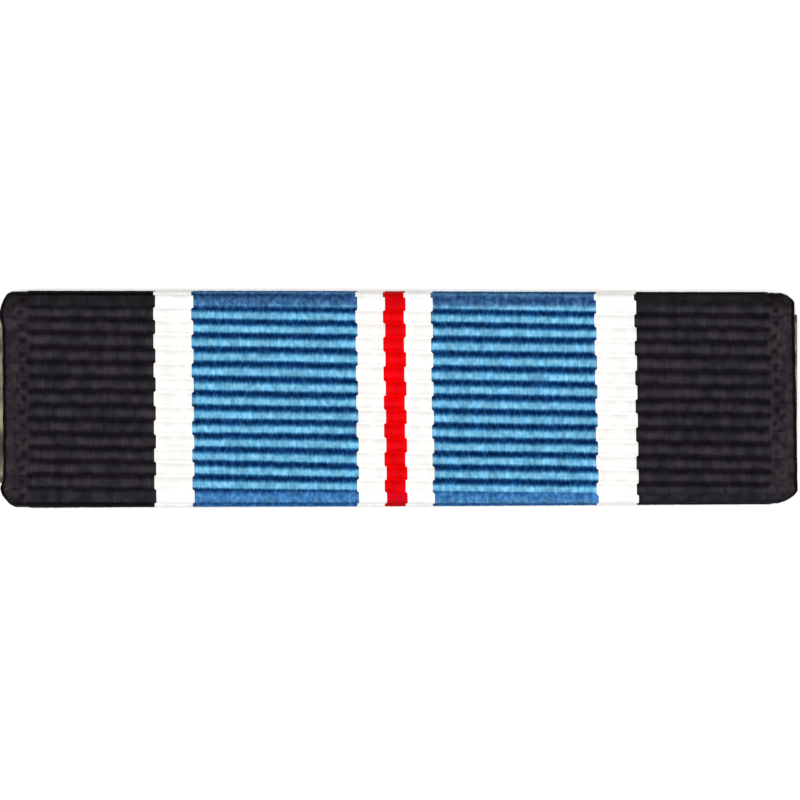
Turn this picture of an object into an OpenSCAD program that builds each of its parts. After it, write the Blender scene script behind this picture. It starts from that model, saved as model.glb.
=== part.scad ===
// Ribbon bar: a striped ribbon wrapped round a brass slide, which runs on a
// plain bar with two posts. A round clutch is pushed on each post. The bar lies
// face up on the flat backs of the clutches. X runs along the bar, +Y points to
// its upper edge as it is worn, and +Z points out of its face.

/* [Ribbon] */
// Width of the woven ribbon, which is the length of the bar
ribbon_w = 34.93; // [30:0.01:40]
// Height of the covered bar, from fold to fold
bar_h = 9.53; // [8.5:0.01:12]
// Thickness of the ribbon, from its back to the crests of its ribs
ribbon_t = 1; // [1:0.05:1.3]
// Distance from one rib to the next
rib_pitch = 0.615; // [0.55:0.005:0.7]
// Distance of the middle rib below the middle of the bar
rib_shift = 0.09; // [0:0.01:0.3]
// Width of the smooth woven edge at each end of the bar
selvedge_w = 0.9; // [0.85:0.05:1.2]
// Depth of the smooth woven edge below the crests
selvedge_drop = 0.15; // [0.1:0.01:0.2]
// Gap between the ribbon and the slide inside it
seat_gap = 0.05; // [0.03:0.01:0.1]

/* [Stripes] */
// Width of the red stripe in the middle
red_w = 0.92; // [0.5:0.01:1.6]
// Width of each white stripe beside the red one
inner_white_w = 1.2; // [0.5:0.01:1.6]
// Width of each blue stripe
blue_w = 7.22; // [5:0.01:7.5]
// Width of each white stripe beside a black one
outer_white_w = 1.74; // [0.5:0.01:2.2]
// Distance of the red stripe to the left of the ribbon's middle
stripe_shift = 0.2; // [0:0.01:0.5]

/* [Slide] */
// Thickness of the brass sheet
sheet_t = 0.35; // [0.25:0.05:0.45]
// Depth of the channel between the front plate and the lips
channel_depth = 0.8; // [0.7:0.05:1.2]
// Inside radius of the sheet's bends
bend_r = 0.1; // [0.05:0.05:0.2]
// Width of each lip that is turned in along the back
lip_w = 1.5; // [1.2:0.05:1.7]
// Length of slide that shows past the left end of the ribbon
left_peek = 0.16; // [0.05:0.01:0.4]
// Length of slide that shows past the right end of the ribbon
right_peek = 0.02; // [0.01:0.01:0.4]

/* [Pin bar] */
// Clearance round the plate inside the channel
run_gap = 0.1; // [0.08:0.01:0.15]
// Distance from each end of the plate to the end of the slide
plate_inset = 0.8; // [0.2:0.1:2]
// Distance from each end of the plate to the middle of its post
post_inset = 5.25; // [5:0.05:7]
// Diameter of a post
post_d = 1.2; // [0.9:0.1:1.4]
// Diameter of the soldered foot of a post
foot_d = 2; // [1.6:0.1:2.2]
// Thickness of the soldered foot of a post
foot_t = 0.3; // [0.2:0.05:0.4]
// Length of the pointed tip of a post
tip_h = 0.8; // [0.4:0.1:1.2]

/* [Clutches] */
// Diameter of the rim of a clutch
clutch_d = 9; // [8:0.1:10]
// Diameter of the drum of a clutch
drum_d = 7.2; // [5:0.1:7.5]
// Height of a clutch
clutch_h = 4.4; // [3.5:0.1:6]
// Thickness of the rim of a clutch
rim_t = 0.9; // [0.5:0.1:1.2]
// Rounding of the back edge of a clutch
drum_edge_r = 0.6; // [0.2:0.1:1]
// Thickness of the back of a clutch, below its bore
clutch_floor = 0.9; // [0.5:0.1:1.2]
// Clearance between a clutch and the back of the ribbon
back_gap = 0.1; // [0.05:0.05:0.5]
// Clearance round a post in its clutch
bore_gap = 0.05; // [0.03:0.01:0.1]
// Clearance between the tip of a post and the bottom of its bore
tip_gap = 0.1; // [0.05:0.05:0.3]

/* [Hidden] */
$fn = 48;

// A little extra length for a cutter
over = 1;

// The layers, from the clutches' flat backs at z = 0 up to the face
slide_t = channel_depth + 2 * sheet_t;
back_z = clutch_h + back_gap;
slide_z = back_z + ribbon_t + seat_gap;
face_z = slide_z + slide_t + seat_gap + ribbon_t;

// Along the bar: the slide is centred, and the ribbon sits between its peeks
slide_l = ribbon_w + left_peek + right_peek;
ribbon_x0 = left_peek - slide_l / 2;

// Across the bar
slide_h = bar_h - 2 * (ribbon_t + seat_gap);
slot_h = slide_h - 2 * lip_w;

// Bends: the sheet's, the ribbon's back round it and the ribbon's own fold
sheet_bend_r = sheet_t + bend_r;
inner_r = sheet_bend_r + seat_gap;
fold_r = ribbon_t;

// Ribs: round cords whose centres follow the wrapped path
rib_r = 0.585 * rib_pitch;
groove_depth = 0.325 * rib_pitch;
turn_r = fold_r - rib_r;
face_len = bar_h / 2 - fold_r;
turn_len = turn_r * PI / 2;
upper_fold_z = face_z - fold_r;
lower_fold_z = back_z + fold_r;
fold_rise = upper_fold_z - lower_fold_z;
return_len = face_len - slot_h / 2;
half_path = face_len + 2 * turn_len + fold_rise + return_len;
half_ribs = ceil(half_path / rib_pitch);

// Stripes from left to right
black_w = (ribbon_w - red_w) / 2 - inner_white_w - blue_w - outer_white_w;
COLOUR = 0;
WIDTH = 1;
STRIPES = [
    // colour, width
    ["#2c282f", black_w - stripe_shift],
    ["#f8f6f2", outer_white_w],
    ["#4a84b0", blue_w],
    ["#f8f6f2", inner_white_w],
    ["#dc0d16", red_w],
    ["#f8f6f2", inner_white_w],
    ["#4a84b0", blue_w],
    ["#f8f6f2", outer_white_w],
    ["#2c282f", black_w + stripe_shift],
];

// The folded ribbon's four pressed-in corners, in shares of its fold radius
END = 0;
EDGE = 1;
ALONG = 2;
DOWN = 3;
CORNERS = [
    // end, edge, length along the bar, length down the end
    [-1, 1, 0.35, 0.45],
    [-1, -1, 0.55, 0.75],
    [1, 1, 0.4, 0.5],
    [1, -1, 0.8, 0.65],
];

// Pin bar: the plate inside the channel, with the posts soldered to it
plate_t = channel_depth - 2 * run_gap;
plate_h = slide_h - 2 * (sheet_t + run_gap);
plate_z = slide_z + sheet_t + run_gap;
plate_l = slide_l - 2 * plate_inset;
post_x = plate_l / 2 - post_inset;

// Clutch: a drum with a wider rim at the top and a blind bore
drum_r = drum_d / 2;
rim_r = clutch_d / 2;
bore_r = post_d / 2 + bore_gap;
tip_z = clutch_floor + tip_gap;

// Sum of the widths of the stripes left of the given one
function stripe_start(index) = index == 0 ? 0 : stripe_start(index - 1) + STRIPES[index - 1][WIDTH];

// Point of the wrapped rib path at a given length from the middle of the face.
// It runs over the face, round the upper fold, down the side, round the lower
// fold and back along the return.
function rib_point(path) =
    let (
        side = sign(path),
        past_face = abs(path) - face_len,
        past_fold = past_face - turn_len,
        past_side = past_fold - fold_rise,
        past_turn = past_side - turn_len
    )
    past_face < 0 ? [path, face_z - rib_r]
    : past_fold < 0 ? turn_point(side, upper_fold_z, 90 - degrees_turned(past_face))
    : past_side < 0 ? [side * (face_len + turn_r), upper_fold_z - past_fold]
    : past_turn < 0 ? turn_point(side, lower_fold_z, -degrees_turned(past_side))
    : [side * (face_len - past_turn), back_z + rib_r];

// Angle that a length of arc on the rib path turns through
function degrees_turned(arc) = arc / turn_r * 180 / PI;

// Point on a fold's rib path, at an angle up from level
function turn_point(side, fold_z, angle) =
    [side * (face_len + turn_r * cos(angle)), fold_z + turn_r * sin(angle)];

// Section drawn in Y and Z, extruded along X from x0
module along_bar(x0, length) {
    translate([x0, 0, 0])
        rotate([90, 0, 90])
            linear_extrude(height = length)
                children();
}

// Upright bar section with round corners
module rounded_section(half_h, z0, z1, r) {
    translate([-half_h, z0 + r])
        square([2 * half_h, z1 - z0 - 2 * r]);
    translate([r - half_h, z0])
        square([2 * (half_h - r), z1 - z0]);
    for (side = [-1, 1])
        for (z = [z0 + r, z1 - r])
            translate([side * (half_h - r), z])
                circle(r = r);
}

// Wrapped cloth, open along the back, with its surface at a depth below the crests
module cloth_section(depth, ribbed) {
    difference() {
        union() {
            rounded_section(bar_h / 2 - depth, back_z + depth, face_z - depth, fold_r - depth);
            if (ribbed)
                for (rib = [-half_ribs : half_ribs])
                    translate(rib_point(rib * rib_pitch - rib_shift))
                        circle(r = rib_r);
        }
        rounded_section(
            slide_h / 2 + seat_gap,
            slide_z - seat_gap,
            slide_z + slide_t + seat_gap,
            inner_r
        );
        translate([-slot_h / 2, back_z - over])
            square([slot_h, ribbon_t + 2 * over]);
    }
}

// What is pressed in at one corner of the folded ribbon, seen from the front
module corner_waste(end, edge, along, down) {
    end_x = ribbon_x0 + (end > 0 ? ribbon_w : 0);
    edge_y = edge * bar_h / 2;
    translate([0, 0, back_z - over])
        linear_extrude(height = face_z - back_z + 2 * over)
            polygon([
                [end_x - end * along, edge_y],
                [end_x, edge_y - edge * down],
                [end_x + end * over, edge_y - edge * down],
                [end_x + end * over, edge_y + edge * over],
                [end_x - end * along, edge_y + edge * over],
            ]);
}

// Smooth woven edge at one end, with its two corners pressed in
module selvedge(end) {
    difference() {
        along_bar(end > 0 ? ribbon_x0 + ribbon_w - selvedge_w : ribbon_x0, selvedge_w)
            cloth_section(selvedge_drop, false);
        for (corner = CORNERS)
            if (corner[END] == end)
                corner_waste(
                    end,
                    corner[EDGE],
                    corner[ALONG] * min(fold_r, selvedge_w),
                    corner[DOWN] * fold_r
                );
    }
}

// One woven ribbon, striped along its length and ribbed across it
module ribbon() {
    last = len(STRIPES) - 1;
    color(STRIPES[0][COLOUR])
        selvedge(-1);
    for (index = [0 : last]) {
        left_trim = index == 0 ? selvedge_w : 0;
        right_trim = index == last ? selvedge_w : 0;
        color(STRIPES[index][COLOUR])
            along_bar(
                ribbon_x0 + stripe_start(index) + left_trim,
                STRIPES[index][WIDTH] - left_trim - right_trim
            )
                cloth_section(groove_depth, true);
    }
    color(STRIPES[last][COLOUR])
        selvedge(1);
}

// Brass sheet bent to an open channel: front plate, two webs and two lips
module slide_mount() {
    color("#a8925c")
        along_bar(-slide_l / 2, slide_l)
            difference() {
                rounded_section(slide_h / 2, slide_z, slide_z + slide_t, sheet_bend_r);
                rounded_section(
                    slide_h / 2 - sheet_t,
                    slide_z + sheet_t,
                    slide_z + slide_t - sheet_t,
                    sheet_bend_r - sheet_t
                );
                translate([-slot_h / 2, slide_z - over])
                    square([slot_h, sheet_t + 2 * over]);
            }
}

// Post that stands on the back of the plate, with a foot and a pointed tip
module post() {
    translate([0, 0, plate_z - foot_t])
        cylinder(h = foot_t, d = foot_d);
    translate([0, 0, tip_z + tip_h])
        cylinder(h = plate_z - tip_z - tip_h, d = post_d);
    translate([0, 0, tip_z])
        cylinder(h = tip_h, d1 = post_d / 3, d2 = post_d);
}

// Flat bar that the slide runs on, with its two posts soldered to it
module pin_bar() {
    color("#b59a4e") {
        translate([-plate_l / 2, -plate_h / 2, plate_z])
            cube([plate_l, plate_h, plate_t]);
        for (side = [-1, 1])
            translate([side * post_x, 0, 0])
                post();
    }
}

// Round cap that holds one post, flat at its back
module clutch(side) {
    color("#c2a552")
        translate([side * post_x, 0, 0])
            rotate_extrude()
                difference() {
                    clutch_outline();
                    translate([0, clutch_floor])
                        square([bore_r, clutch_h]);
                }
}

// Half section of the cap before it is bored
module clutch_outline() {
    square([drum_r - drum_edge_r, clutch_h]);
    translate([0, drum_edge_r])
        square([drum_r, clutch_h - drum_edge_r - rim_t / 2]);
    translate([drum_r - drum_edge_r, drum_edge_r])
        circle(r = drum_edge_r);
    translate([0, clutch_h - rim_t])
        square([rim_r - rim_t / 2, rim_t]);
    translate([rim_r - rim_t / 2, clutch_h - rim_t / 2])
        circle(d = rim_t);
}

module clutch_left() {
    clutch(-1);
}

module clutch_right() {
    clutch(1);
}

ribbon();
slide_mount();
pin_bar();
clutch_left();
clutch_right();
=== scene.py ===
# %% [markdown]
# # A ribbon bar
#
# A ribbon bar is a short length of medal ribbon, worn in place of the medal. The ribbon is wrapped round
# a thin brass slide, the slide runs on a plain bar, and two posts on that bar go through the cloth of a
# jacket into round clutches. Here it lies face up on the backs of its clutches, seen from straight above.
#
# The hard pieces already have their final shape, so they only get a finish. The ribbon is modelled here:
# its ribs, its threads and its folded corners are what makes the object look like cloth.

import math

import bmesh
import bpy
import numpy as np
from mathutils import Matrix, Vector


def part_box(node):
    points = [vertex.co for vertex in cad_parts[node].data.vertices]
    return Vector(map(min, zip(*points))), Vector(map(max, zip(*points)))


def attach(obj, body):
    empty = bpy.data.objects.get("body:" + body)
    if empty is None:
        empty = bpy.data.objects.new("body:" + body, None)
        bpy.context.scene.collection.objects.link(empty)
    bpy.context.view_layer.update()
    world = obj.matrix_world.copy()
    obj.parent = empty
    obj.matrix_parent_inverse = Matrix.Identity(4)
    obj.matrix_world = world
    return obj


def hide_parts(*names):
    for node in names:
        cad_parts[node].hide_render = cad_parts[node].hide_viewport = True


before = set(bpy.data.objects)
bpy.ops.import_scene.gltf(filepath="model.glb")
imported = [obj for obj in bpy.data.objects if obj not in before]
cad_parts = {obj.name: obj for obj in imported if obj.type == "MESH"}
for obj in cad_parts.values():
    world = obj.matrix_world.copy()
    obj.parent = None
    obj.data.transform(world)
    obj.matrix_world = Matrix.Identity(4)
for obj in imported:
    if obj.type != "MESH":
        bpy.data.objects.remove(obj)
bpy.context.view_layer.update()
MM = 0.001
print("nodes:", sorted(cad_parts))

# %% [markdown]
# ## The camera
#
# The photograph looks straight down on the bar's face. It could be matched with a short lens close by,
# but that would show the ends of the bar smaller than its middle. A long lens from far away gives nearly
# parallel sight lines, as the photograph has. The ribbon's measured scale and middle in the photograph
# place the camera, so no framing is done by eye.

# %% Place the camera above the face
ribbon_low, ribbon_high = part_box("ribbon")
PHOTO_SIDE_PX = 800
PX_PER_MM = 22.74
RIBBON_MIDDLE_PX = (399.9, 398.75)
LENS_MM = 1000
SENSOR_MM = 36
NEAREST_SEEN = 0.01

view_width = PHOTO_SIDE_PX / PX_PER_MM * MM
camera_height = view_width * LENS_MM / SENSOR_MM
ribbon_middle = (ribbon_low + ribbon_high) / 2
px = MM / PX_PER_MM

camera = bpy.data.objects.new("camera", bpy.data.cameras.new("camera"))
camera.data.lens = LENS_MM
camera.data.sensor_width = SENSOR_MM
camera.data.clip_start = NEAREST_SEEN
camera.location = (
    ribbon_middle.x - (RIBBON_MIDDLE_PX[0] - PHOTO_SIDE_PX / 2) * px,
    ribbon_middle.y + (RIBBON_MIDDLE_PX[1] - PHOTO_SIDE_PX / 2) * px,
    ribbon_high.z + camera_height,
)
bpy.context.scene.collection.objects.link(camera)
bpy.context.scene.camera = camera
print("camera height above the face in mm:", round(camera_height / MM, 1))

# %% [markdown]
# ## The weave, counted
#
# Medal ribbon is a plain weave of fine warp threads, which run along the ribbon, over thick weft cords,
# which run across it. Each cord makes a rib. A warp thread shows on every second rib and dives under the
# ribs between, so the short stretches that show, called floats, sit half a float further on each next
# rib. That is why the edges of the red stripe step from side to side.
#
# The cloth could be one flat picture of stripes, but then its edges would be ruler-straight. Counting in
# floats and ribs instead gives every stripe a whole number of threads, and steps its edges by itself.

# %% Count the floats and the ribs
RIBS = 32
STRIPE_COLOUR = 0
STRIPE_FLOATS = 1
STRIPE_WIDTH = 2
STRIPES = [
    # colour, floats on one rib, width in mm
    ("black", 38, 6.62),
    ("white", 10, 1.67),
    ("blue", 42, 7.23),
    ("white", 7, 1.21),
    ("red", 5, 0.92),
    ("white", 7, 1.19),
    ("blue", 42, 7.20),
    ("white", 10, 1.76),
    ("black", 40, 7.04),
]
floats = sum(stripe[STRIPE_FLOATS] for stripe in STRIPES)
ribbon_width = sum(stripe[STRIPE_WIDTH] for stripe in STRIPES) * MM
float_marks = np.cumsum([0] + [stripe[STRIPE_FLOATS] for stripe in STRIPES])
width_marks = np.cumsum([0] + [stripe[STRIPE_WIDTH] * MM for stripe in STRIPES])
print("floats on a rib:", floats, "ribs:", RIBS)

# %% [markdown]
# ## The wrapped path
#
# Seen from its end, the ribbon runs flat over the face, turns round the upper fold, goes down the side,
# turns under and comes back along the lip of the slide, and the same on the lower half. The outer surface
# and the lining follow the same kind of path, with a large and a small bend, so one helper serves both.

# %% Helper for a path round the bar
def wrapped(path, half, upper, lower, bend, depth):
    """Y, Z and angle of points at a length along a rounded path, sunk by a depth below it."""
    turn = bend * math.pi / 2
    past_face = np.abs(path) - half
    past_fold = past_face - turn
    past_side = past_fold - (upper - lower)
    past_turn = past_side - turn
    angle = (np.clip(past_face, 0, turn) + np.clip(past_side, 0, turn)) / bend
    straight = np.minimum(np.abs(path), half) - np.clip(past_turn, 0, None)
    y = np.sign(path) * (straight + np.sin(angle) * (bend - depth))
    z = upper - np.clip(past_fold, 0, upper - lower) + np.cos(angle) * (bend - depth)
    return y, z, angle


print("helper ready: wrapped")

# %% [markdown]
# The outer path follows the ribbon's box in the frame, and the lining keeps a hair's breadth off the
# slide. The cloth's thickness is the space between. Its folds turn about the slide's edges, so the bend of
# the outer path is as large as the cloth is thick.

# %% Sizes of the two paths
SEAT_GAP = 0.05 * MM
LIP_WIDTH = 1.5 * MM
LINING_BEND = 0.5 * MM

slide_low, slide_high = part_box("slide_mount")
lip_edge = slide_high.y - LIP_WIDTH
fold = ribbon_high.z - slide_high.z - SEAT_GAP
outer = {
    "half": ribbon_high.y - fold,
    "upper": ribbon_high.z - fold,
    "lower": ribbon_low.z + fold,
    "bend": fold,
}
inner = {
    "half": slide_high.y + SEAT_GAP - LINING_BEND,
    "upper": slide_high.z + SEAT_GAP - LINING_BEND,
    "lower": slide_low.z - SEAT_GAP + LINING_BEND,
    "bend": LINING_BEND,
}


def path_marks(half, upper, lower, bend):
    """Lengths along the path at which it changes from straight to bend and back."""
    turn = bend * math.pi / 2
    return np.cumsum([0, half, turn, upper - lower, turn, half - lip_edge])


outer_marks = path_marks(**outer)
inner_marks = path_marks(**inner)
half_path = outer_marks[-1]
rib_pitch = 2 * half_path / RIBS
print("rib pitch in mm:", round(rib_pitch / MM, 4))
print("flat ribbon in mm:", round(ribbon_width / MM, 2), "by", round(2 * half_path / MM, 2))

# %% [markdown]
# ## Weave it flat
#
# The cloth could be modelled in its folded shape, but it is easier as the loom makes it: flat, and
# wrapped afterwards. A grid gives two columns to a float and six rows to a rib. One unit across is one
# float, and one unit along is one rib. The rows are drawn towards the grooves between the ribs, where
# the surface bends most. Extruding the whole face region down gives the cloth its thickness, and cuts in
# the upright edges leave rows for a rounded rim.

# %% Make the flat cloth
FLOAT_COLUMNS = 2
RIB_ROWS = 6
ROW_PULL = 0.6
RIM_CUTS = 3
NEAR = 0.01

weave = bmesh.new()
bmesh.ops.create_grid(weave, x_segments=floats * FLOAT_COLUMNS, y_segments=RIBS * RIB_ROWS, size=1)
bmesh.ops.scale(weave, vec=(floats / 2, RIBS / 2, 1), verts=weave.verts)
for vert in weave.verts:
    rib = math.floor(vert.co.y + 0.5)
    row = vert.co.y - rib
    vert.co.y = rib + ROW_PULL * math.sin(math.pi * row) / 2 + (1 - ROW_PULL) * row
lower = bmesh.ops.extrude_face_region(weave, geom=weave.faces[:], use_keep_orig=True)["geom"]
bmesh.ops.translate(weave, vec=(0, 0, -1), verts=[v for v in lower if isinstance(v, bmesh.types.BMVert)])
upright = [e for e in weave.edges if abs(e.verts[0].co.z - e.verts[1].co.z) > 0.5]
bmesh.ops.subdivide_edges(weave, edges=upright, cuts=RIM_CUTS)
bmesh.ops.recalc_face_normals(weave, faces=weave.faces)
print("flat cloth:", len(weave.verts), "vertices,", len(weave.faces), "faces")

# %% [markdown]
# The lining faces the slide and is smooth across the ribbon, so it needs none of its thousands of small
# faces. Dissolving the edges between its columns leaves one long face for each row, which can still bend
# round the folds.

# %% Thin out the lining
def between_columns(edge):
    """True for an edge of the lining that runs along the ribbon and isn't on its rim."""
    first, second = edge.verts[0].co, edge.verts[1].co
    level = first.z < NEAR - 1 and second.z < NEAR - 1
    return level and abs(first.x - second.x) < NEAR and abs(first.x) < floats / 2 - NEAR


column_edges = [edge for edge in weave.edges if between_columns(edge)]
bmesh.ops.dissolve_edges(weave, edges=column_edges, use_verts=True)
print("with the lining thinned:", len(weave.faces), "faces")

# %% [markdown]
# The operators leave the new vertices and faces of the rim in an order that changes from run to run. That
# doesn't show, but the unevenness further down is drawn vertex by vertex, and the same script should
# always make the same ribbon. So they are put in order: first by layer, from the face of the cloth down,
# then by row, and then across.

# %% Put vertices, edges and faces in order
LAYER_STEP = 1e9
ROW_STEP = 1e4


def order(point):
    """One number that grows from layer to layer, from row to row and across a row."""
    return -round(point.z, 3) * LAYER_STEP + round(point.y, 3) * ROW_STEP + point.x


weave.verts.sort(key=lambda vert: order(vert.co))
weave.edges.sort(key=lambda edge: order((edge.verts[0].co + edge.verts[1].co) / 2))
weave.faces.sort(key=lambda face: order(face.calc_center_median()))
print("the first vertex lies at", [round(value, 2) for value in next(iter(weave.verts)).co])

# %% [markdown]
# ## Shape the threads
#
# A rib is round, because there is a cord in it, and it leans a little towards the lower edge. The painted
# highlight of the crest and the painted shade of the groove follow the same lean, so each rib looks lit a
# little from below. The floats lie side by side over it like a row of soft pads, and at a groove the
# floats of one rib push between those of the next, so the groove is a zigzag and not a straight line. Loom
# and thread are never quite even, so the vertices of a float are lifted or sunk a little at random. Arrays
# hold one number for each vertex, so each line below shapes the whole cloth at once.

# %% Read the flat places
# The lean also sets where the painted highlight and painted groove shade sit on each rib.
RIB_LEAN = 0.10

flat = np.array([vert.co for vert in weave.verts])
across, along, share = flat[:, 0], flat[:, 1], -flat[:, 2]
at_end = np.abs(across) > floats / 2 - NEAR
at_cut = np.abs(along) > RIBS / 2 - NEAR
end_side = np.where(across < 0, -1, 1)
float_place = across + floats / 2
width_place = np.interp(float_place, float_marks, width_marks)
from_end = np.minimum(width_place, ribbon_width - width_place)
rib_number = np.floor(along + 0.5)
from_crest = along - rib_number
leaning = from_crest + RIB_LEAN
groove = np.maximum(leaning / (0.5 + RIB_LEAN), -leaning / (0.5 - RIB_LEAN))
in_float = np.mod(float_place - np.mod(rib_number, 2) / 2, 1)
pad = 0.5 - 0.5 * np.cos(2 * math.pi * in_float)
print("vertices on crests:", int((groove < NEAR).sum()), "in grooves:", int((groove > 1 - NEAR).sum()))

# %% Helpers for soft steps and unevenness
WAVES = 6
WAVE_ACROSS = (0.4, 2.2)
WAVE_ALONG = (-1.5, 1.5)


def smooth_step(low, high, value):
    """0 below low, 1 above high, and a soft ramp between."""
    part = np.clip((value - low) / (high - low), 0, 1)
    return part * part * (3 - 2 * part)


def slow_waves(across, along, seed):
    """Gentle seeded unevenness between about -1 and 1, as hand and loom leave it."""
    draw = np.random.RandomState(seed)
    total = np.zeros_like(across)
    for _ in range(WAVES):
        turn = draw.uniform(0, 2 * math.pi)
        total += np.sin(across * draw.uniform(*WAVE_ACROSS) + along * draw.uniform(*WAVE_ALONG) + turn)
    return total / math.sqrt(WAVES)


print("waves in each unevenness:", WAVES)

# %% Relief of the ribs and floats
CORD_RADIUS = 0.42 * MM
GROOVE_EXTRA = 0.03 * MM
CREASE_DEPTH = 0.006 * MM
CREASE_AT_GROOVE = 0.03 * MM
FLOAT_UNEVEN = 0.008 * MM
CLOTH_UNEVEN = 0.010 * MM
UNEVEN_FLOATS = 40
UNEVEN_RIBS = 3

cord_height = np.sqrt(CORD_RADIUS**2 - (groove * rib_pitch / 2) ** 2)
rib_depth = CORD_RADIUS - cord_height + GROOVE_EXTRA * groove**6
crease_depth = (1 - pad) * (CREASE_DEPTH + CREASE_AT_GROOVE * groove**2)
chance = np.random.RandomState(7).uniform(-1, 1, len(across))
lift = chance * FLOAT_UNEVEN * (1 - groove**2)
uneven = CLOTH_UNEVEN * (1 + slow_waves(float_place / UNEVEN_FLOATS, along / UNEVEN_RIBS, seed=3))
print("ribs stand", round(rib_depth.max() / MM, 3), "mm above their grooves")

# %% [markdown]
# ## The woven edge
#
# At both ends of the bar the weft turns back in a tight woven edge, the selvedge. Its warp threads are
# thicker than the others, so it shows as small checks, and not as ribs. Where a rib ends, the first of
# these threads dives, and where a groove ends it rises; the next thread does the opposite. Towards the
# edge the checks get fainter, and the edge itself falls away. The low checks get painted shade, and a thin
# line of painted shadow runs along the very edge. The line where the ribs end swings in pairs, because
# each cord goes out along one rib and comes back along the next.

# %% Where the selvedge begins
BAND_WIDTH = 0.98 * MM
BAND_SWING = 0.09 * MM
SWING_WAVES = 0.8
SWING_PACE = (3.0, 1.6)
RIB_FADE = (-0.03 * MM, 0.13 * MM)
FIELD_FADE = (-0.05 * MM, 0.12 * MM)

loop_phase = math.pi * (along - 0.5 - (end_side > 0))
opened = 0.5 - 0.5 * np.cos(loop_phase)
swing_waves = slow_waves(end_side * SWING_PACE[0], along * SWING_PACE[1], seed=5)
swing = opened + SWING_WAVES * swing_waves
past_band = from_end - (BAND_WIDTH + BAND_SWING * swing)
rib_share = smooth_step(*RIB_FADE, past_band)
field_share = smooth_step(*FIELD_FADE, past_band)
print("vertices in the selvedge:", int((past_band < 0).sum()))

# %% Relief of the selvedge
BAND_DEPTH = 0.035 * MM
BAND_RIDGE = 0.014 * MM
CHECK_WIDTH = 0.34 * MM
CHECK_DEPTH = 0.035 * MM
CHECK_FADE = (0.9, 1.9)
CHECK_SHARE = 0.9
CHECK_WAVES = 0.4
CHECK_PACE = (5.0, 0.9)
CHECK_LEAST = 0.4
EDGE_ROUND = 0.22 * MM
EDGE_DROP = 0.13 * MM

in_checks = np.clip(-past_band / CHECK_WIDTH, 0, None)
worn_waves = slow_waves(end_side * CHECK_PACE[0], along * CHECK_PACE[1], seed=13)
worn = np.clip(CHECK_SHARE + CHECK_WAVES * worn_waves, CHECK_LEAST, 1)
checks = -np.cos(math.pi * np.clip(groove, 0, 1)) * np.sin(math.pi * in_checks)
checks *= worn * (1 - smooth_step(*CHECK_FADE, in_checks))
band_relief = (1 - field_share) * (BAND_DEPTH + BAND_RIDGE * np.mod(float_place * FLOAT_COLUMNS, 2))
edge_share = np.clip(1 - from_end / EDGE_ROUND, 0, 1)
edge_drop = EDGE_DROP * (1 - np.sqrt(1 - edge_share**2))
edge_relief = -CHECK_DEPTH * checks
depth = rib_depth * rib_share + (crease_depth + lift) * field_share + uneven
depth += band_relief + edge_relief + edge_drop
print("deepest point of the weave in mm:", round(depth.max() / MM, 3))

# %% [markdown]
# ## Wrap it round the slide
#
# No ribbon is wrapped perfectly square. In the photograph the ribs fall slightly to the right and don't
# lie quite evenly: they spread a little away from the middle, crowd before each fold and open again on
# it. The cloth is still flat here, so all of that is a shift of each place along its path. It fades out
# on the way to the back, and the two cut ends stay where they are.

# %% Shift the ribs along the path
RIB_FALL = math.radians(0.85)
RIB_DROP = 0.18 * MM
FALL_FADE = (7.5, 14.0)
RIB_SPREAD = 0.0024 * MM
SPREAD_REACH = (4.0, 8.0)
RIB_CROWD = 0.055 * MM
CROWD_PLACE = 7.0
CROWD_REACH = 1.8
RIB_OPENING = 0.11 * MM
OPENING_START = (6.9, 7.5)
OPENING_END = (9.0, 13.0)
RIB_WANDER = 0.018 * MM
WANDER_FLOATS = 24
GROOVE_ZIGZAG = 0.05
LOOP_PULL = 0.12
LOOP_REACH = (0.5 * MM, 1.6 * MM)

from_middle = np.abs(along)
half_side = np.sign(along)
fall_share = 1 - smooth_step(*FALL_FADE, from_middle)
zigzag = np.sign(from_crest) * groove**3 * GROOVE_ZIGZAG * (2 * pad - 1) * field_share
pulled = -LOOP_PULL * np.sin(loop_phase) * (1 - smooth_step(*LOOP_REACH, from_end)) * field_share
sideways = width_place - ribbon_width / 2
path = (along + zigzag + pulled) * rib_pitch
path -= fall_share * (RIB_DROP + math.tan(RIB_FALL) * sideways)
path += (1 - smooth_step(*SPREAD_REACH, from_middle)) * RIB_SPREAD * along**2
path -= half_side * RIB_CROWD * np.exp(-(((from_middle - CROWD_PLACE) / CROWD_REACH) ** 2))
opening = smooth_step(*OPENING_START, from_middle) * (1 - smooth_step(*OPENING_END, from_middle))
path += half_side * RIB_OPENING * opening
path += fall_share * RIB_WANDER * slow_waves(float_place / WANDER_FLOATS, along, seed=11)
path = np.where(at_cut, half_side * half_path, np.clip(path, -half_path, half_path))
stray = np.abs(path - along * rib_pitch).max()
print("ribs stray from an even pitch by up to", round(stray / MM, 2), "mm")

# %% [markdown]
# Now the helper wraps the outer face and the lining, and the rows of the rim are shared out between the
# two. Round a fold the outside is stretched, so the grooves open and get shallow there. The fold is a
# little tighter towards the right end, and the stripes lean, more at the right end than at the left. The
# lean comes last, because it moves the stripes and leaves the ribs as they lie.

# %% Wrap the cloth
FOLD_OPENING = 0.85
FOLD_PULL = {
    # edge: how far its fold is pulled in at the left and at the right end
    1: (-0.02 * MM, 0.06 * MM),
    -1: (-0.06 * MM, 0.105 * MM),
}
LEAN_LEFT = math.radians(0.25)
LEAN_RIGHT = math.radians(1.0)
LEFT_INSET = 0.025 * MM

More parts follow.
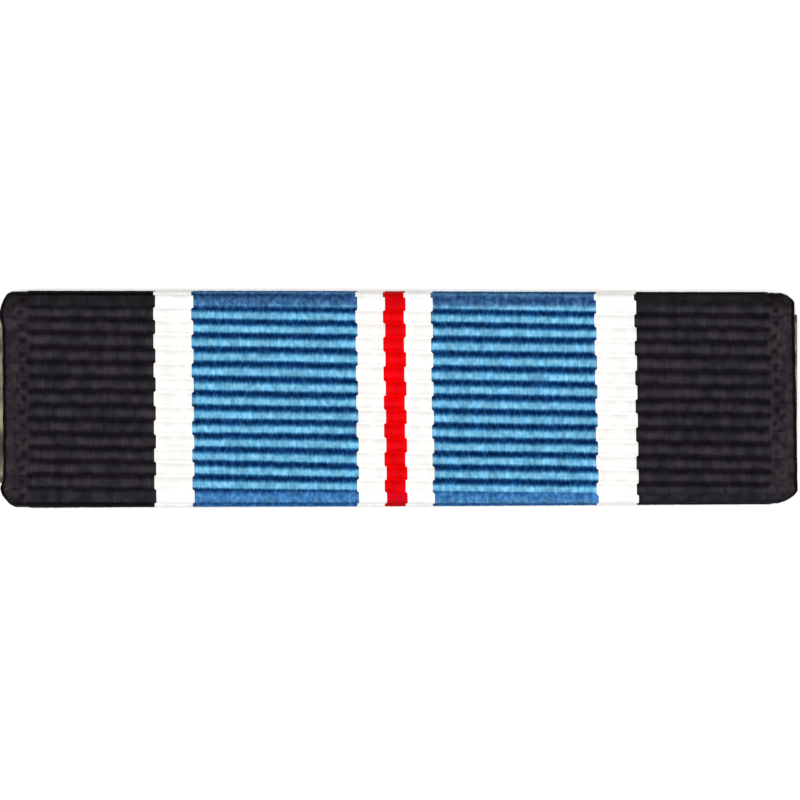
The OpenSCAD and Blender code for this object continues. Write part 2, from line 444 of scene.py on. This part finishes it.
_, _, angle = wrapped(path, **outer, depth=0)
stretched = rib_depth * rib_share * np.abs(np.sin(2 * angle)) + edge_relief * np.sin(angle) ** 2
depth -= FOLD_OPENING * stretched
outer_y, outer_z, _ = wrapped(path, **outer, depth=depth)
inner_path = half_side * np.interp(np.abs(along * rib_pitch), outer_marks, inner_marks)
lining_y, lining_z, _ = wrapped(inner_path, **inner, depth=0)
y = outer_y * (1 - share) + lining_y * share
z = outer_z * (1 - share) + lining_z * share
end_place = width_place / ribbon_width
in_fold = np.clip((np.abs(y) - outer["half"]) / fold, 0, 1) * (1 - share)
pulls = {edge: left + (right - left) * end_place for edge, (left, right) in FOLD_PULL.items()}
pull = np.where(y > 0, pulls[1], pulls[-1])
y = y - np.sign(y) * pull * in_fold
lean = LEAN_LEFT + (LEAN_RIGHT - LEAN_LEFT) * end_place
x = ribbon_low.x + LEFT_INSET + width_place - np.tan(lean) * y
print("wrapped cloth in mm:", [(round(a.min() / MM, 2), round(a.max() / MM, 2)) for a in (x, y, z)])

# %% [markdown]
# The corners of the folds are pressed in, each by its own amount and one more rounded than the next. A
# small table holds them, as a distance along the bar, one down from the fold, and a roundness that goes
# from 1 for a straight cut to 2 for a quarter of an ellipse. Beside the two left corners the cloth that
# was pressed in bulges out again over the end of the slide.

# %% Press in the corners
CORNER_REACH = 1.3 * MM
CORNERS = [
    # end, edge, along in mm, down in mm, roundness
    (-1, 1, 0.34, 0.60, 1.35),
    (-1, -1, 0.44, 0.56, 1.15),
    (1, 1, 0.52, 0.42, 1.2),
    (1, -1, 0.95, 0.62, 1.4),
]
BULGE = 0.13 * MM
BULGES = [
    # place up the left edge, reach, in mm
    (3.70, 0.42),
    (-3.94, 0.28),
]
LOOP_BELLY = 0.02 * MM
RIM_BELLY = 0.02 * MM

fold_edge = ribbon_high.y - pull
reach = 1 - smooth_step(0, CORNER_REACH, from_end)
for end, edge, along_bar, down, roundness in CORNERS:
    here = (end_side == end) & (np.sign(y) == edge)
    height = np.clip(1 - (fold_edge - np.abs(y)) / (down * MM), 0, 1)
    press = 1 - (1 - height**roundness) ** (1 / roundness)
    x = x - end * here * along_bar * MM * press * reach
for place, bulge_reach in BULGES:
    bulge = BULGE * np.exp(-(((y / MM - place) / bulge_reach) ** 2)) * (z > outer["lower"])
    x = x - (end_side < 0) * bulge * reach
belly = LOOP_BELLY * (1 - opened) * edge_share
x = x + end_side * (belly + at_end * RIM_BELLY * np.sin(math.pi * share))
print("corners pressed in by up to", max(along_bar for _, _, along_bar, _, _ in CORNERS), "mm")

# %% [markdown]
# The flat places stay on the vertices as an attribute, because the colours of the threads are worked out
# from them. Round the rim they go on past the edge, so that the threads do too. The third number is how
# far the cloth has turned, in quarter turns. It is negative on the lower half, because the two folds get
# different painted shading. A second attribute describes the selvedge: how high the ribs still stand, how
# far the point is in the band, and where it gets painted shade, which is in the low checks and, as a thin
# line of painted shadow, at the very edge.

# %% Put the shape and the attributes on the mesh
RIM_FLOATS = 5
RIM_RIBS = 1.6
SEAM = (0.06 * MM, 0.16 * MM)
CHECK_SHADE_GAIN = 1.1
CHECK_SHADE_MOST = 0.9

# Painted shade in the low checks, and a thin line of painted shadow along the very edge.
checks_painted_shade = np.clip(-CHECK_SHADE_GAIN * checks, 0, CHECK_SHADE_MOST)
edge_painted_shadow = 1 - smooth_step(*SEAM, from_end)
weave_place = np.stack(
    [
        float_place + end_side * at_end * share * RIM_FLOATS,
        along + half_side * at_cut * share * RIM_RIBS,
        half_side * angle / (math.pi / 2),
    ],
    axis=1,
)
edge_place = np.stack([rib_share, 1 - field_share, np.maximum(checks_painted_shade, edge_painted_shadow)], axis=1)
positions = np.stack([x, y, z], axis=1)
place_layer = weave.verts.layers.float_vector.new("weave")
edge_layer = weave.verts.layers.float_vector.new("edge")
for vert, position, place, edge in zip(weave.verts, positions, weave_place, edge_place):
    vert.co = position
    vert[place_layer] = place
    vert[edge_layer] = edge
for face in weave.faces:
    face.smooth = True
print("vertices placed:", len(weave_place))

# %% [markdown]
# Where the finish is baked into one picture, the ribbon needs a place of its own in it for every face. Cut
# open and laid flat again it is a plain rectangle, so the picture holds the outside as the loom made it,
# with the rims along its sides, and the lining in a strip above.

# %% Map the cloth flat for baking
BAKE_RIM = 0.03
BAKE_LENGTH = 0.83
LINING_STRIP = (0.91, 0.07)

path_share = 0.5 + path / (2 * half_path)
lining_share = 0.5 + along / RIBS
bake_u = BAKE_RIM + (1 - 2 * BAKE_RIM) * end_place + end_side * at_end * share * BAKE_RIM
bake_v = BAKE_RIM + BAKE_LENGTH * path_share + half_side * at_cut * share * BAKE_RIM
lining_v = LINING_STRIP[0] + LINING_STRIP[1] * lining_share
bake_layer = weave.loops.layers.uv.new("OFBake")
weave.verts.index_update()
on_lining = share > 1 - NEAR
for face in weave.faces:
    corners = [loop.vert.index for loop in face.loops]
    heights = lining_v if all(on_lining[corner] for corner in corners) else bake_v
    for loop, corner in zip(face.loops, corners):
        loop[bake_layer].uv = (bake_u[corner], heights[corner])
print("baking map across:", round(bake_u.min(), 3), "to", round(bake_u.max(), 3))
print("baking map along:", round(bake_v.min(), 3), "to", round(lining_v.max(), 3))

# %% [markdown]
# The shape has been made in a bmesh, which is a workbench for operators and can't be shown itself. It is
# written to a mesh, and an object carries that. The object stays at the origin, because every place is in
# the mesh already.

# %% Make the ribbon's mesh
ribbon_mesh = bpy.data.meshes.new("woven_ribbon")
weave.to_mesh(ribbon_mesh)
weave.free()
ribbon = bpy.data.objects.new("woven_ribbon", ribbon_mesh)
bpy.context.scene.collection.objects.link(ribbon)
triangles = sum(len(face.vertices) - 2 for face in ribbon_mesh.polygons)
print("woven ribbon:", len(ribbon_mesh.vertices), "vertices,", triangles, "triangles")

# %% [markdown]
# ## Helpers for materials
#
# Materials here are graphs of nodes. They could be wired up line by line, but then a recipe would fill
# pages. One helper adds a node and fills its sockets, with either numbers or links, and three more use it
# for sums, for soft ramps and for mixing colours.

# %% Helpers that add nodes
def add_node(tree, kind, sockets=None, **settings):
    """Adds a node, applies its settings and fills its input sockets with values or links."""
    made = tree.nodes.new(kind)
    for name, setting in settings.items():
        setattr(made, name, setting)
    for key, value in (sockets or {}).items():
        if isinstance(value, bpy.types.NodeSocket):
            tree.links.new(value, made.inputs[key])
        else:
            made.inputs[key].default_value = value
    return made


def sums(tree, operation, *values):
    """Output of a Math node with these numbers or links."""
    return add_node(tree, "ShaderNodeMath", dict(enumerate(values)), operation=operation).outputs[0]


def ramped(tree, value, low, high, low_out=0.0, high_out=1.0):
    """A value taken smoothly from low_out at low to high_out at high."""
    sockets = {"Value": value, "From Min": low, "From Max": high, "To Min": low_out, "To Max": high_out}
    return add_node(tree, "ShaderNodeMapRange", sockets, interpolation_type="SMOOTHSTEP").outputs[0]


def mixed(tree, factor, first, second, blend="MIX"):
    """Colour output of a Mix node."""
    sockets = {0: factor, 6: first, 7: second}
    return add_node(tree, "ShaderNodeMix", sockets, data_type="RGBA", blend_type=blend).outputs[2]


print("helpers ready: add_node, sums, ramped, mixed")

# %% [markdown]
# A screen stores a colour on a curve, because the eye tells dark shades apart better than bright ones. A
# shader reckons with plain amounts of light, so colours that are named as on a screen are turned back.


# %% Helper for colours
def linear(red, green, blue):
    """Screen colour from 0 to 255 as the linear colour that a shader takes."""
    shares = (red / 255, green / 255, blue / 255)
    return [s / 12.92 if s < 0.04045 else ((s + 0.055) / 1.055) ** 2.4 for s in shares] + [1.0]


print("a middle grey as a linear colour:", [round(value, 3) for value in linear(128, 128, 128)])

# %% [markdown]
# A recipe that several materials or several steps use is a group of nodes with named sockets. It is built
# once and placed where it is needed.


# %% Helpers for groups and materials
def new_group(name, inputs, outputs):
    """Empty shader node group with these sockets, and its input and output nodes."""
    tree = bpy.data.node_groups.new(name, "ShaderNodeTree")
    for label, kind in inputs:
        tree.interface.new_socket(label, in_out="INPUT", socket_type=kind)
    for label, kind in outputs:
        tree.interface.new_socket(label, in_out="OUTPUT", socket_type=kind)
    return tree, tree.nodes.new("NodeGroupInput").outputs, tree.nodes.new("NodeGroupOutput").inputs


def new_material(name):
    """Empty material, its node tree and its shader."""
    material = bpy.data.materials.new(name)
    material.use_nodes = True
    tree = material.node_tree
    return material, tree, tree.nodes["Principled BSDF"]


def place_group(tree, group, sockets):
    """Outputs of a node group that is placed in a material."""
    return add_node(tree, "ShaderNodeGroup", sockets, node_tree=group).outputs


print("helpers ready: new_group, new_material, place_group")

# %% [markdown]
# ## Where a point lies in the weave
#
# Every part of the cloth's finish needs to know which rib and which float a point is on. The group below
# works that out from the weave attribute, with the same half-float step and lean as the mesh. A colour
# ramp is stored as a row of 256 colours, so the float's number is divided by 255 and each float gets a
# colour of its own. The group also puts out how near the groove is, and the crease between two floats;
# the finish paints shade by both of them.

# %% Start the group that reads the weave
FLOAT = "NodeSocketFloat"
VECTOR = "NodeSocketVector"
READINGS = ["Stripe Place", "Groove", "Crease", "Float Chance", "Bundle", "Fibre", "Mottle"]
weave_reader, given, wanted = new_group(
    "weave_reader", [("Weave", VECTOR)], [(name, FLOAT) for name in READINGS]
)


def weave_sum(operation, *values):
    """Output of a Math node in the weave reader."""
    return sums(weave_reader, operation, *values)


print("the weave reader puts out:", READINGS)

# %% Find the rib and the float
RAMP_STEPS = 255.0

parts = add_node(weave_reader, "ShaderNodeSeparateXYZ", {0: given["Weave"]}).outputs
rib_value = weave_sum("FLOOR", weave_sum("ADD", parts[1], 0.5))
odd_value = weave_sum("FLOORED_MODULO", rib_value, 2.0)
shifted = weave_sum("SUBTRACT", parts[0], weave_sum("MULTIPLY", odd_value, 0.5))
float_value = weave_sum("FLOOR", shifted)
middle = weave_sum("ADD", float_value, 0.5)
from_float_middle = weave_sum("ABSOLUTE", weave_sum("SUBTRACT", shifted, middle))
leaning_value = weave_sum("ADD", weave_sum("SUBTRACT", parts[1], rib_value), RIB_LEAN)
above_crest = weave_sum("DIVIDE", leaning_value, 0.5 + RIB_LEAN)
below_crest = weave_sum("DIVIDE", leaning_value, RIB_LEAN - 0.5)
for label, value in {
    "Stripe Place": weave_sum("DIVIDE", middle, RAMP_STEPS),
    "Groove": weave_sum("MAXIMUM", above_crest, below_crest),
    "Crease": weave_sum("MULTIPLY", from_float_middle, 2.0),
}.items():
    weave_reader.links.new(value, wanted[label])
print("nodes so far:", len(weave_reader.nodes))

# %% [markdown]
# No two threads took the dye alike, and that shows as four kinds of unevenness. One value is drawn for
# each float. One is for a bundle of threads, and shows again on every second rib, because the same
# threads come up there. One is for single fibres, drawn out along the thread. The last is a mottling
# without any order, for the dye and for the selvedge. One noise in plain metres couldn't follow the
# threads round the folds, so all four are taken from the place in the weave.

# %% Unevenness of the threads
BUNDLE_FLOATS = 3.6
BUNDLE_RIBS = 0.30
BUNDLE_TURN = 1.1
BUNDLE_DETAIL = 1.0
ODD_RIB_JUMP = 31.7
FIBRES_PER_FLOAT = 3.0
FIBRES_PER_RIB = 0.9
FIBRE_RIB_JUMP = 3.7
FIBRE_DETAIL = 2.0
MOTTLES_PER_FLOAT = 0.9
MOTTLES_PER_RIB = 2.4
MOTTLE_DETAIL = 2.0


def weave_noise(across_value, along_value, detail):
    """Smooth noise over two values."""
    at = add_node(weave_reader, "ShaderNodeCombineXYZ", {0: across_value, 1: along_value}).outputs[0]
    sockets = {"Vector": at, "Scale": 1.0, "Detail": detail}
    return add_node(weave_reader, "ShaderNodeTexNoise", sockets, noise_dimensions="2D").outputs["Fac"]


cell = add_node(weave_reader, "ShaderNodeCombineXYZ", {0: float_value, 1: rib_value}).outputs[0]
white_noise = add_node(weave_reader, "ShaderNodeTexWhiteNoise", {"Vector": cell}, noise_dimensions="2D")
bundle_across = weave_sum("DIVIDE", shifted, BUNDLE_FLOATS)
odd_jump = weave_sum("MULTIPLY", odd_value, ODD_RIB_JUMP)
bundle_row = weave_sum("MULTIPLY_ADD", leaning_value, BUNDLE_TURN, odd_jump)
bundle_along = weave_sum("MULTIPLY_ADD", rib_value, BUNDLE_RIBS, bundle_row)
fibre_across = weave_sum("MULTIPLY", shifted, FIBRES_PER_FLOAT)
rib_jump = weave_sum("MULTIPLY", rib_value, FIBRE_RIB_JUMP)
fibre_along = weave_sum("MULTIPLY_ADD", parts[1], FIBRES_PER_RIB, rib_jump)
mottle_across = weave_sum("MULTIPLY", parts[0], MOTTLES_PER_FLOAT)
mottle_along = weave_sum("MULTIPLY", parts[1], MOTTLES_PER_RIB)
for label, value in {
    "Float Chance": white_noise.outputs["Value"],
    "Bundle": weave_noise(bundle_across, bundle_along, BUNDLE_DETAIL),
    "Fibre": weave_noise(fibre_across, fibre_along, FIBRE_DETAIL),
    "Mottle": weave_noise(mottle_across, mottle_along, MOTTLE_DETAIL),
}.items():
    weave_reader.links.new(value, wanted[label])
print("weave reader has", len(weave_reader.nodes), "nodes")

# %% [markdown]
# ## The cloth's finish
#
# Each stripe is painted with a pair of colours on its ribs: a pale painted highlight on the crest, and a
# deep painted shade in the groove. The folds are painted too, with one even colour of painted shading for
# the upper fold and one for the lower, which is painted as lit a little more.

# %% Colours of the threads
THREADS = {
    # the painted highlight of the crest, the painted shade of the groove, the painted shading of the upper
    # fold
    # and of the lower fold, and three amounts: unevenness of the brightness, unevenness of the dye, and
    # how much deeper the painted shade gets where the fold turns away from the light
    "black": (
        *(linear(38, 35, 40), linear(18, 15, 20), linear(27, 25, 28), linear(33, 31, 38)),
        *(0.7, 0.0, 0.34),
    ),
    "white": (
        *(linear(217, 215, 212), linear(217, 215, 212), linear(238, 238, 235), linear(238, 238, 235)),
        *(0.12, 0.0, 0.0),
    ),
    "blue": (
        *(linear(95, 156, 188), linear(3, 31, 70), linear(43, 77, 121), linear(53, 104, 159)),
        *(0.44, 0.16, 0.17),
    ),
    "red": (
        *(linear(203, 2, 9), linear(197, 1, 3), linear(192, 3, 10), linear(189, 4, 22)),
        *(0.3, 0.0, 0.3),
    ),
}
CREST_HIGHLIGHT = 0
GROOVE_SHADE = 1
UPPER_FOLD_SHADING = 2
LOWER_FOLD_SHADING = 3
UNEVENNESS = 4
DYE_DEPTH = 5
TURNED_AWAY_SHADE = 6
print("threads:", sorted(THREADS))

# %% [markdown]
# Stepped colour ramps lay the colours out by counting floats. A painted picture of the stripes would do it
# too, but it would have to be matched to the threads by hand. A ramp's stops have an alpha as well, which
# is free to carry one of the three amounts.

# %% Lay the colours out as stripes
cloth_finish, tree, shader = new_material("ribbon_cloth")
place = add_node(tree, "ShaderNodeAttribute", attribute_name="weave").outputs["Vector"]
edge_vector = add_node(tree, "ShaderNodeAttribute", attribute_name="edge").outputs["Vector"]
read = place_group(tree, weave_reader, {"Weave": place})


def stripe_ramp(kind, in_alpha=UNEVENNESS):
    """Stepped ramp with a stop at the first float of each stripe; its alpha holds one of the amounts."""
    made = add_node(tree, "ShaderNodeValToRGB", {"Fac": read["Stripe Place"]})
    ramp = made.color_ramp
    ramp.interpolation = "CONSTANT"
    ramp.elements.remove(ramp.elements[1])
    for mark, stripe in zip(float_marks, STRIPES):
        stop = ramp.elements.new((mark - 0.5) / RAMP_STEPS) if mark else ramp.elements[0]
        thread = THREADS[stripe[STRIPE_COLOUR]]
        stop.color = thread[kind][:3] + [thread[in_alpha]]
    return made.outputs


# The crest ramp holds the painted highlight, the groove ramp the painted shade, and the fold ramps the
# painted shading of the folds.
crest_highlight_ramp = stripe_ramp(CREST_HIGHLIGHT)
groove_shade_ramp = stripe_ramp(GROOVE_SHADE, DYE_DEPTH)
upper_fold_shading_ramp = stripe_ramp(UPPER_FOLD_SHADING, TURNED_AWAY_SHADE)
lower_fold_shading_ramp = stripe_ramp(LOWER_FOLD_SHADING)
print("stripes on a ramp:", len(STRIPES))

# %% [markdown]
# From the painted highlight of the crest to the painted shade of the groove the colour isn't mixed in
# equal steps. Each bounce between the threads takes the same share of the light that is left, so the two
# colours are raised to powers that add up to one, and multiplied.

# %% Mix the painted crest highlight with the painted groove shade
GROOVE_SHADE_RAMP = (0.22, 1.08)

rib_height, in_band, painted_edge_shade = add_node(tree, "ShaderNodeSeparateXYZ", {0: edge_vector}).outputs
# Painted shade in the grooves and painted highlight on the crests.
groove_shade_share = ramped(tree, sums(tree, "MULTIPLY", read["Groove"], rib_height), *GROOVE_SHADE_RAMP)
crest_highlight_share = sums(tree, "SUBTRACT", 1.0, groove_shade_share)
crest_highlight_part = add_node(tree, "ShaderNodeGamma", {0: crest_highlight_ramp["Color"], 1: crest_highlight_share})
groove_shade_part = add_node(tree, "ShaderNodeGamma", {0: groove_shade_ramp["Color"], 1: groove_shade_share})
colour = mixed(tree, 1.0, crest_highlight_part.outputs[0], groove_shade_part.outputs[0], blend="MULTIPLY")
print("nodes so far:", len(tree.nodes))

# %% [markdown]
# The even painted shading of a fold comes in as the cloth turns, a little earlier on the upper fold, and
# goes again round the bend, where the ribs are closed. Where the fold turns away from the light the colour
# gets deeper, as painted shade, and all over the blue stripes the dye is deeper here and paler there. A
# power of the colour does both, because it makes a colour deeper without making it grey.

# %% Paint the shading of the folds
FOLD_START = (0.16, 0.34)
UPPER_AHEAD = 0.05
FOLD_END = (0.50, 0.64)
FOLD_SHADING_MOST = 0.88
FOLD_SHADING_UNDER = 0.7
TURNED_AWAY_SPAN = (0.52, 0.68)
MOTTLE_SPAN = (0.3, 0.7)

signed_turn = add_node(tree, "ShaderNodeSeparateXYZ", {0: place}).outputs[2]
turned = sums(tree, "ABSOLUTE", signed_turn)
is_upper = sums(tree, "GREATER_THAN", signed_turn, 0.0)
# Painted shading: the upper and the lower fold are painted as lit differently.
fold_shading_colour = mixed(tree, is_upper, lower_fold_shading_ramp["Color"], upper_fold_shading_ramp["Color"])
turned_ahead = sums(tree, "MULTIPLY_ADD", is_upper, UPPER_AHEAD, turned)
started = ramped(tree, turned_ahead, *FOLD_START, 0.0, FOLD_SHADING_MOST)
fold_shading_share = sums(tree, "MULTIPLY", started, ramped(tree, turned, *FOLD_END, 1.0, FOLD_SHADING_UNDER))
colour = mixed(tree, fold_shading_share, colour, fold_shading_colour)
# Painted shade where the fold turns away from the light; the dye's own unevenness is added to the same
# power.
turned_away_shade = ramped(tree, turned, *TURNED_AWAY_SPAN)
fold_shade_power = sums(tree, "MULTIPLY_ADD", turned_away_shade, upper_fold_shading_ramp["Alpha"], 1.0)
dye_wander = ramped(tree, read["Mottle"], *MOTTLE_SPAN, -1.0, 1.0)
fold_shade_and_dye_depth = sums(tree, "MULTIPLY_ADD", dye_wander, groove_shade_ramp["Alpha"], fold_shade_power)
colour = add_node(tree, "ShaderNodeGamma", {0: colour, 1: fold_shade_and_dye_depth}).outputs[0]
print("nodes so far:", len(tree.nodes))

# %% [markdown]
# The brightness of the threads is the product of four shades: three of random tone, of the float, of its
# bundle and of the fibre, and a painted shade in the crease between floats. A white stripe shows less of
# it than a black one, so it is weakened by the amount in the ramp's alpha.

# %% Random tone and painted crease shade of the threads
NOISE_SPAN = (0.25, 0.75)
CREASE_SPAN = (0.6, 1.0)
FLOAT_SHADES = (0.86, 1.14)
BUNDLE_SHADES = (0.58, 1.46)
FIBRE_SHADES = (0.78, 1.16)
CREASE_PAINTED_SHADES = (1.0, 0.84)

# The crease between floats gets painted shade; the other three shades are random tone.
shade = ramped(tree, read["Float Chance"], 0.0, 1.0, *FLOAT_SHADES)
for label, span, shades in [
    ("Bundle", NOISE_SPAN, BUNDLE_SHADES),
    ("Fibre", NOISE_SPAN, FIBRE_SHADES),
    ("Crease", CREASE_SPAN, CREASE_PAINTED_SHADES),
]:
    shade = sums(tree, "MULTIPLY", shade, ramped(tree, read[label], *span, *shades))
softened = sums(tree, "MULTIPLY_ADD", sums(tree, "SUBTRACT", shade, 1.0), crest_highlight_ramp["Alpha"], 1.0)
grey = add_node(tree, "ShaderNodeCombineColor", {0: softened, 1: softened, 2: softened}).outputs[0]
colour = mixed(tree, 1.0, colour, grey, blend="MULTIPLY")
print("nodes so far:", len(tree.nodes))

# %% [markdown]
# The selvedge is mottled and has a slight tint that changes from bundle to bundle. Its low checks get
# nearly black painted shade, and the very edge a nearly black line of painted shadow.

# %% Colour the selvedge
BAND_MOTTLE = (0.84, 1.16)
BAND_SPAN = (0.35, 0.65)
BAND_TINTS = ((1.07, 0.93, 0.99, 1), (1.04, 0.97, 0.87, 1))
SEAM_PAINTED_SHADE = (0.04, 0.02, 0.03, 1)

mottle = ramped(tree, read["Mottle"], *MOTTLE_SPAN, *BAND_MOTTLE)
band_grey = add_node(tree, "ShaderNodeCombineColor", {0: mottle, 1: mottle, 2: mottle}).outputs[0]
band_dye = mixed(tree, ramped(tree, read["Bundle"], *BAND_SPAN), *BAND_TINTS)
band_tint = mixed(tree, 1.0, band_grey, band_dye, blend="MULTIPLY")
colour = mixed(tree, in_band, colour, mixed(tree, 1.0, colour, band_tint, blend="MULTIPLY"))
# Painted shade in the low checks and painted shadow along the very edge.
colour = mixed(tree, painted_edge_shade, colour, mixed(tree, 1.0, colour, SEAM_PAINTED_SHADE, blend="MULTIPLY"))
tree.links.new(colour, shader.inputs["Base Color"])
print("nodes so far:", len(tree.nodes))

# %% [markdown]
# Dry thread hardly shines, and least of all in the grooves. Single fibres are finer than any mesh could
# carry, so the noise that colours them also drives a bump.

# %% Gloss and fibres of the cloth
CLOTH_ROUGHNESS = (0.6, 0.85)
CLOTH_SHINE = 0.02
FIBRE_STRENGTH = 0.5
FIBRE_HEIGHT = 0.015 * MM

roughness = ramped(tree, read["Groove"], 0.0, 1.0, *CLOTH_ROUGHNESS)
tree.links.new(roughness, shader.inputs["Roughness"])
fibres = {"Height": read["Fibre"], "Strength": FIBRE_STRENGTH, "Distance": FIBRE_HEIGHT}
bump = add_node(tree, "ShaderNodeBump", fibres)
tree.links.new(bump.outputs["Normal"], shader.inputs["Normal"])
shader.inputs["Specular IOR Level"].default_value = CLOTH_SHINE
ribbon_mesh.materials.append(cloth_finish)
print("ribbon material has", len(tree.nodes), "nodes")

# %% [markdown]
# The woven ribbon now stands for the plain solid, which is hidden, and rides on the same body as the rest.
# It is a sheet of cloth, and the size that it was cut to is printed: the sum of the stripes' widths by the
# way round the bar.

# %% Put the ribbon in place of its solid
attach(ribbon, "root")
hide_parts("ribbon")
print("sheet in mm:", round(ribbon_width / MM, 2), "by", round(2 * half_path / MM, 2))

# %% [markdown]
# ## Brass
#
# The slide, the pin bar and the clutches are brass, each with its own age. One shared group makes the
# unevenness of all of them: a cloudy tarnish, which dulls the colour and the gloss, and fine scratches,
# which go into a bump. The colours and the amounts differ, so each metal is its own material. The slide's
# colours are much darker than the others, as painted shade for the ends of it that show beside the cloth.

# %% Group that ages brass
SCRATCH_STRETCH = (0.06, 1.0, 1.0)
TARNISH_SPAN = (0.38, 0.68)
CLOUD_DETAIL = 5.0
SCRATCH_DETAIL = 3.0

brass_age, given, wanted = new_group(
    "brass_age",
    [("Place", VECTOR), ("Cloud Size", FLOAT), ("Scratch Size", FLOAT)],
    [("Tarnish", FLOAT), ("Scratch", FLOAT)],
)


def brass_noise(vector, scale, detail):
    """Smooth noise in the group that ages brass."""
    sockets = {"Vector": vector, "Scale": scale, "Detail": detail}
    return add_node(brass_age, "ShaderNodeTexNoise", sockets).outputs["Fac"]


drawn_out = {"Vector": given["Place"], "Scale": SCRATCH_STRETCH}
scratch_place = add_node(brass_age, "ShaderNodeMapping", drawn_out).outputs[0]
cloud = brass_noise(given["Place"], given["Cloud Size"], CLOUD_DETAIL)
scratch = brass_noise(scratch_place, given["Scratch Size"], SCRATCH_DETAIL)
brass_age.links.new(ramped(brass_age, cloud, *TARNISH_SPAN), wanted["Tarnish"])
brass_age.links.new(scratch, wanted["Scratch"])
print("brass group has", len(brass_age.nodes), "nodes")

# %% Finish of each brass piece
CLOUD_SIZE = 700.0
SCRATCH_SIZE = 9000.0
SCRATCH_STRENGTH = 0.3


def brass(name, bright, dull, roughness, scratch_bump):
    """Brass material: a bright colour, a tarnished one, its roughness range and the depth of its marks."""
    material, tree, shader = new_material(name)
    place = add_node(tree, "ShaderNodeTexCoord").outputs["Object"]
    sizes = {"Place": place, "Cloud Size": CLOUD_SIZE, "Scratch Size": SCRATCH_SIZE}
    age = place_group(tree, brass_age, sizes)
    tree.links.new(mixed(tree, age["Tarnish"], bright, dull), shader.inputs["Base Color"])
    tree.links.new(ramped(tree, age["Tarnish"], 0.0, 1.0, *roughness), shader.inputs["Roughness"])
    marks = {"Height": age["Scratch"], "Strength": SCRATCH_STRENGTH, "Distance": scratch_bump}
    bump = add_node(tree, "ShaderNodeBump", marks)
    tree.links.new(bump.outputs["Normal"], shader.inputs["Normal"])
    shader.inputs["Metallic"].default_value = 1.0
    return material


BRASS = {
    # The slide's colours are darkened as painted shade.
    "slide_mount": brass(
        "slide_brass", linear(118, 110, 95), linear(75, 69, 60), (0.64, 0.78), 0.010 * MM
    ),
    "pin_bar": brass(
        "pin_brass", linear(192, 168, 113), linear(160, 136, 90), (0.26, 0.40), 0.008 * MM
    ),
    "clutch_left": brass(
        "clutch_brass", linear(202, 176, 115), linear(178, 150, 96), (0.20, 0.32), 0.006 * MM
    ),
}
BRASS["clutch_right"] = BRASS["clutch_left"]
for node_name, material in BRASS.items():
    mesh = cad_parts[node_name].data
    mesh.materials.clear()
    mesh.materials.append(material)
print("brass pieces:", sorted(BRASS))

# %% [markdown]
# ## Floor and light
#
# The photograph is a cut-out on white: its light comes from straight ahead, so the crests are bright, the
# folds fall away darker and there is next to no shadow. A distant key lamp straight above does the same,
# because its shadow hides under the bar. A larger, weaker lamp lights the lower fold a little more than
# the upper one, and an even world keeps the sides readable from other angles.

# %% Floor
FLOOR_SIZE = 3.0
FLOOR_WHITE = (0.94, 0.94, 0.94, 1)
FLOOR_ROUGHNESS = 0.9
FLOOR_SHINE = 0.1

floor_mesh = bpy.data.meshes.new("floor")
sheet = bmesh.new()
bmesh.ops.create_grid(sheet, x_segments=1, y_segments=1, size=FLOOR_SIZE / 2)
sheet.to_mesh(floor_mesh)
sheet.free()
floor = bpy.data.objects.new("floor", floor_mesh)
bpy.context.scene.collection.objects.link(floor)
floor_finish, tree, shader = new_material("floor_white")
shader.inputs["Base Color"].default_value = FLOOR_WHITE
shader.inputs["Roughness"].default_value = FLOOR_ROUGHNESS
shader.inputs["Specular IOR Level"].default_value = FLOOR_SHINE
floor_mesh.materials.append(floor_finish)
print("floor:", FLOOR_SIZE, "m square")

# %% Lamps and world
LAMPS = {
    # place in m, size in m, power in W
    "key_lamp": ((0, 0, 1.5), 0.15, 26.6),
    "fill_lamp": ((0, -0.50, 0.90), 0.60, 2.1),
}
WORLD_STRENGTH = 0.15

for name, (place, size, power) in LAMPS.items():
    lamp = bpy.data.objects.new(name, bpy.data.lights.new(name, "AREA"))
    lamp.data.shape = "DISK"
    lamp.data.size = size
    lamp.data.energy = power
    lamp.location = place
    lamp.rotation_euler = Vector(place).to_track_quat("Z", "Y").to_euler()
    bpy.context.scene.collection.objects.link(lamp)
world = bpy.data.worlds.new("studio")
world.use_nodes = True
background = world.node_tree.nodes["Background"]
background.inputs["Color"].default_value = (1, 1, 1, 1)
background.inputs["Strength"].default_value = WORLD_STRENGTH
bpy.context.scene.world = world
bpy.context.scene.view_settings.view_transform = "Standard"
print("lamps:", sorted(LAMPS))
